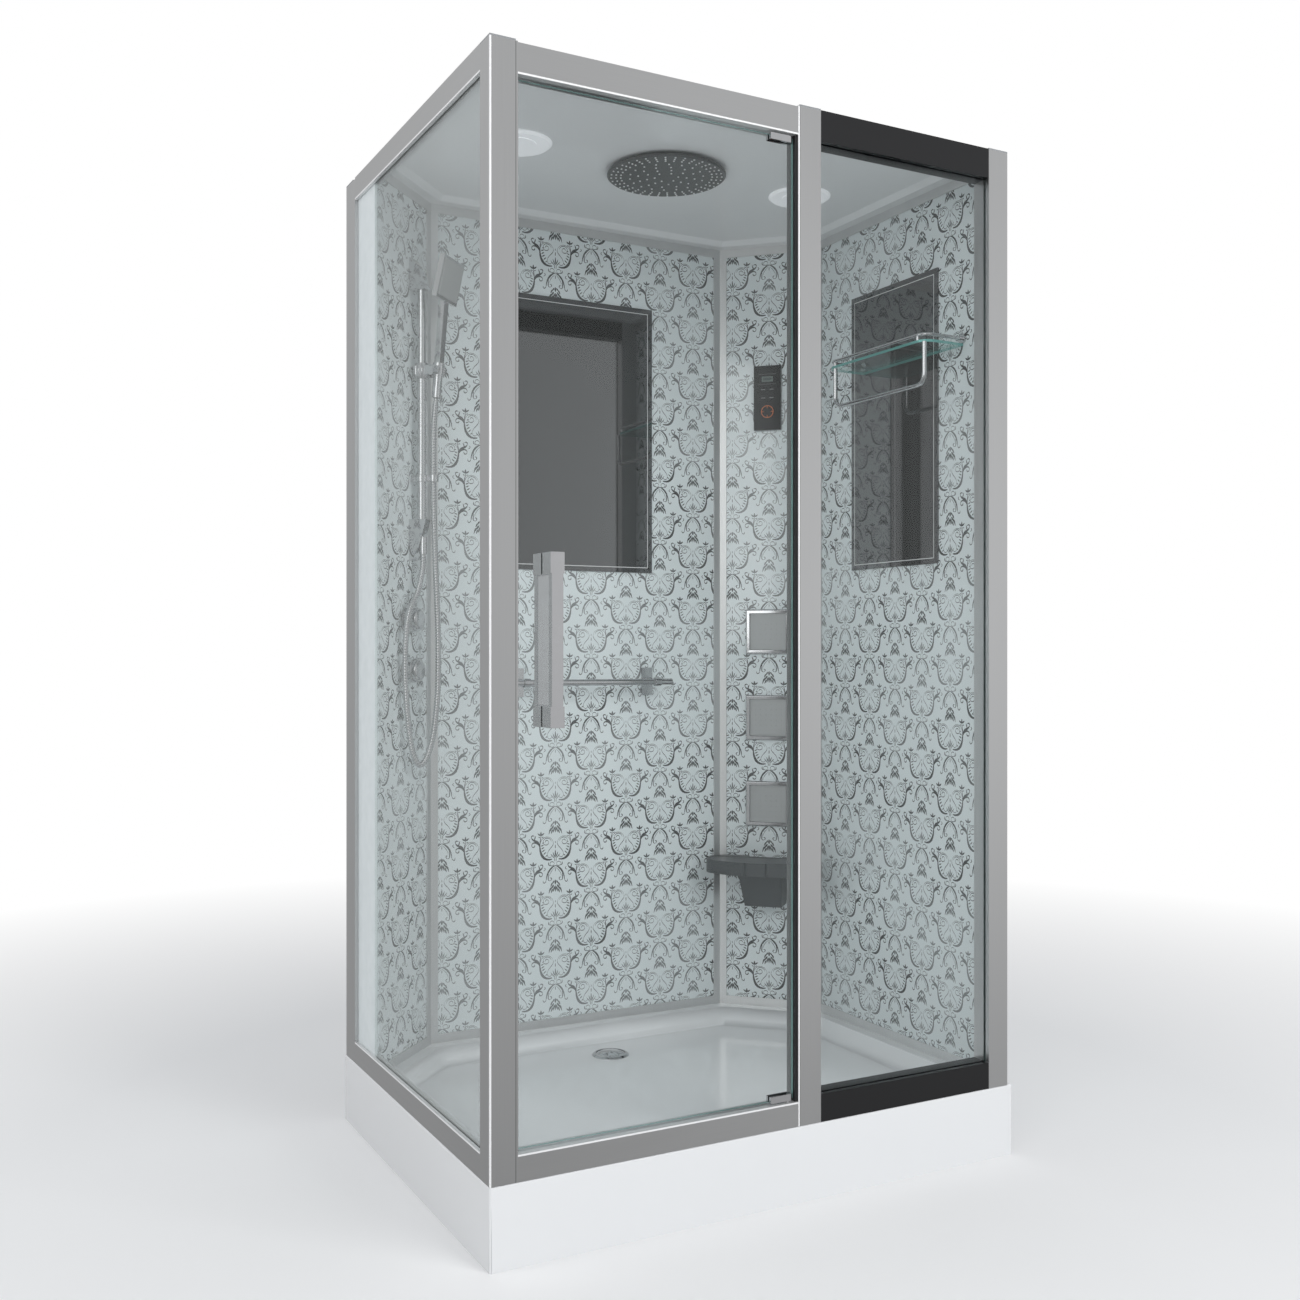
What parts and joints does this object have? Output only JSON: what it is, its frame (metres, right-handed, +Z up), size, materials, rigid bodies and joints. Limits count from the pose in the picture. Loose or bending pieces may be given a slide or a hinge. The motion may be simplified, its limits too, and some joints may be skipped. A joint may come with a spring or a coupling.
{
  "type": "hydromassage shower cabin",
  "caption": "Rectangular shower cabin with low tray, framed glass front, pivot door, printed glass walls, roof with overhead shower, body jets, hand shower on a rail, folding seat and shelf.",
  "frame": {"origin": "on the floor, in the middle of the tray's footprint, under the middle foot", "axes": "+Z up, the door looks along -Y, the glazed side looks along -X, the tray's long side lies along X"},
  "size_m": [1.2, 0.9255, 2.2074],
  "materials": {
    "acrylic_white": "glossy white acrylic",
    "frame_steel": "galvanised",
    "satin_aluminium": "satin anodised",
    "dark_aluminium": "dark graphite, satin",
    "trim_aluminium": "satin grey",
    "clear_glass": "clear tempered glass",
    "frosted_glass": "frosted white glass",
    "printed_glass": "pale blue-grey back-painted glass with a silver damask print",
    "mirror_glass": "silvered glass",
    "shelf_glass": "clear glass with teal edges",
    "panel_glass": "black gloss glass",
    "chrome": "polished",
    "jet_grey": "satin grey",
    "dark_plastic": "satin slate grey",
    "grey_plastic": "satin",
    "white_plastic": "gloss",
    "plated_plastic": "chrome plated",
    "nozzle_rubber": "soft silicone",
    "seal_rubber": "matte",
    "rain_grey": "satin graphite",
    "brass": "cast",
    "hose_metal": "ribbed stainless steel"
  },
  "bodies": {
    "cabin": {"tray": "acrylic_white", "tray_frame": "frame_steel", "tray_feet": "frame_steel", "drain_flange": "chrome", "drain_trap": "grey_plastic", "front_left_post": "satin_aluminium", "mid_post": "satin_aluminium", "front_right_post": "satin_aluminium", "rear_left_post": "satin_aluminium", "post_caps": "grey_plastic", "door_top_rail": "satin_aluminium", "door_bottom_rail": "satin_aluminium", "fixed_top_rail": "dark_aluminium", "fixed_bottom_rail": "dark_aluminium", "left_top_rail": "satin_aluminium", "left_bottom_rail": "satin_aluminium", "left_glass": "clear_glass", "frosted_panel": "frosted_glass", "fixed_glass": "clear_glass", "post_seal": "seal_rubber", "back_panel": "printed_glass", "left_corner_panel": "printed_glass", "right_corner_panel": "printed_glass", "right_panel": "printed_glass", "rear_profiles": "satin_aluminium", "panel_trims": "trim_aluminium", "back_mirror": "mirror_glass", "side_mirror": "mirror_glass", "roof": "acrylic_white", "rain_head": "rain_grey", "rain_nozzles": "nozzle_rubber", "rain_pipe": "grey_plastic", "lamp_rings": "white_plastic", "lamp_lenses": "white_plastic", "control_housing": "dark_plastic", "control_glass": "panel_glass", "jet_bezels": "chrome", "jet_plates": "jet_grey", "jet_pipework": "grey_plastic", "seat_bracket": "dark_plastic", "seat_pin": "frame_steel", "towel_bar": "chrome", "towel_brackets": "chrome", "shelf_glass": "shelf_glass", "shelf_rail": "chrome", "riser_rail": "chrome", "riser_brackets": "chrome", "hose_guide": "chrome", "hose": "hose_metal", "valve_body": "brass"},
    "door": {"door_glass": "clear_glass", "door_fittings": "chrome"},
    "slider": {"slider": "plated_plastic"},
    "holder": {"handset_holder": "plated_plastic"},
    "handset": {"handset": "plated_plastic", "handset_face": "jet_grey"},
    "mixer_knob": {"mixer_knob": "chrome"},
    "diverter_knob": {"diverter_knob": "chrome"},
    "seat": {"seat": "dark_plastic"},
    "drain_cover": {"drain_cover": "chrome"}
  },
  "joints": [
    {"name": "door_swing", "type": "hinge", "parent": "cabin", "child": "door", "pos_m": [0.029, -0.437, 1.15], "axis": [0, 0, 1], "range_deg": [0, 90]},
    {"name": "slider_slide", "type": "slide", "parent": "cabin", "child": "slider", "axis": [0, 0, 1], "range_m": [-0.17, 0.12], "deforming": ["hose"]},
    {"name": "holder_tilt", "type": "hinge", "parent": "slider", "child": "holder", "pos_m": [-0.41995, 0.31982, 1.722], "axis": [0.7071, 0.7071, 0], "range_deg": [-10, 10]},
    {"name": "handset_lift", "type": "slide", "parent": "holder", "child": "handset", "axis": [0.0616, -0.0616, 0.9962], "range_m": [0, 0.05]},
    {"name": "mixer_turn", "type": "hinge", "parent": "cabin", "child": "mixer_knob", "pos_m": [-0.47369, 0.33396, 1.036], "axis": [0.7071, -0.7071, 0], "range_deg": [-60, 60]},
    {"name": "diverter_turn", "type": "hinge", "parent": "cabin", "child": "diverter_knob", "pos_m": [-0.47369, 0.33396, 1.152], "axis": [0.7071, -0.7071, 0], "range_deg": [-135, 135]},
    {"name": "seat_fold", "type": "hinge", "parent": "cabin", "child": "seat", "pos_m": [0.47151, 0.31651, 0.531], "axis": [-0.7071, 0.7071, 0], "range_deg": [0, 85]},
    {"name": "drain_cover_lift", "type": "slide", "parent": "cabin", "child": "drain_cover", "axis": [0, 0, 1], "range_m": [0, 0.03]}
  ]
}
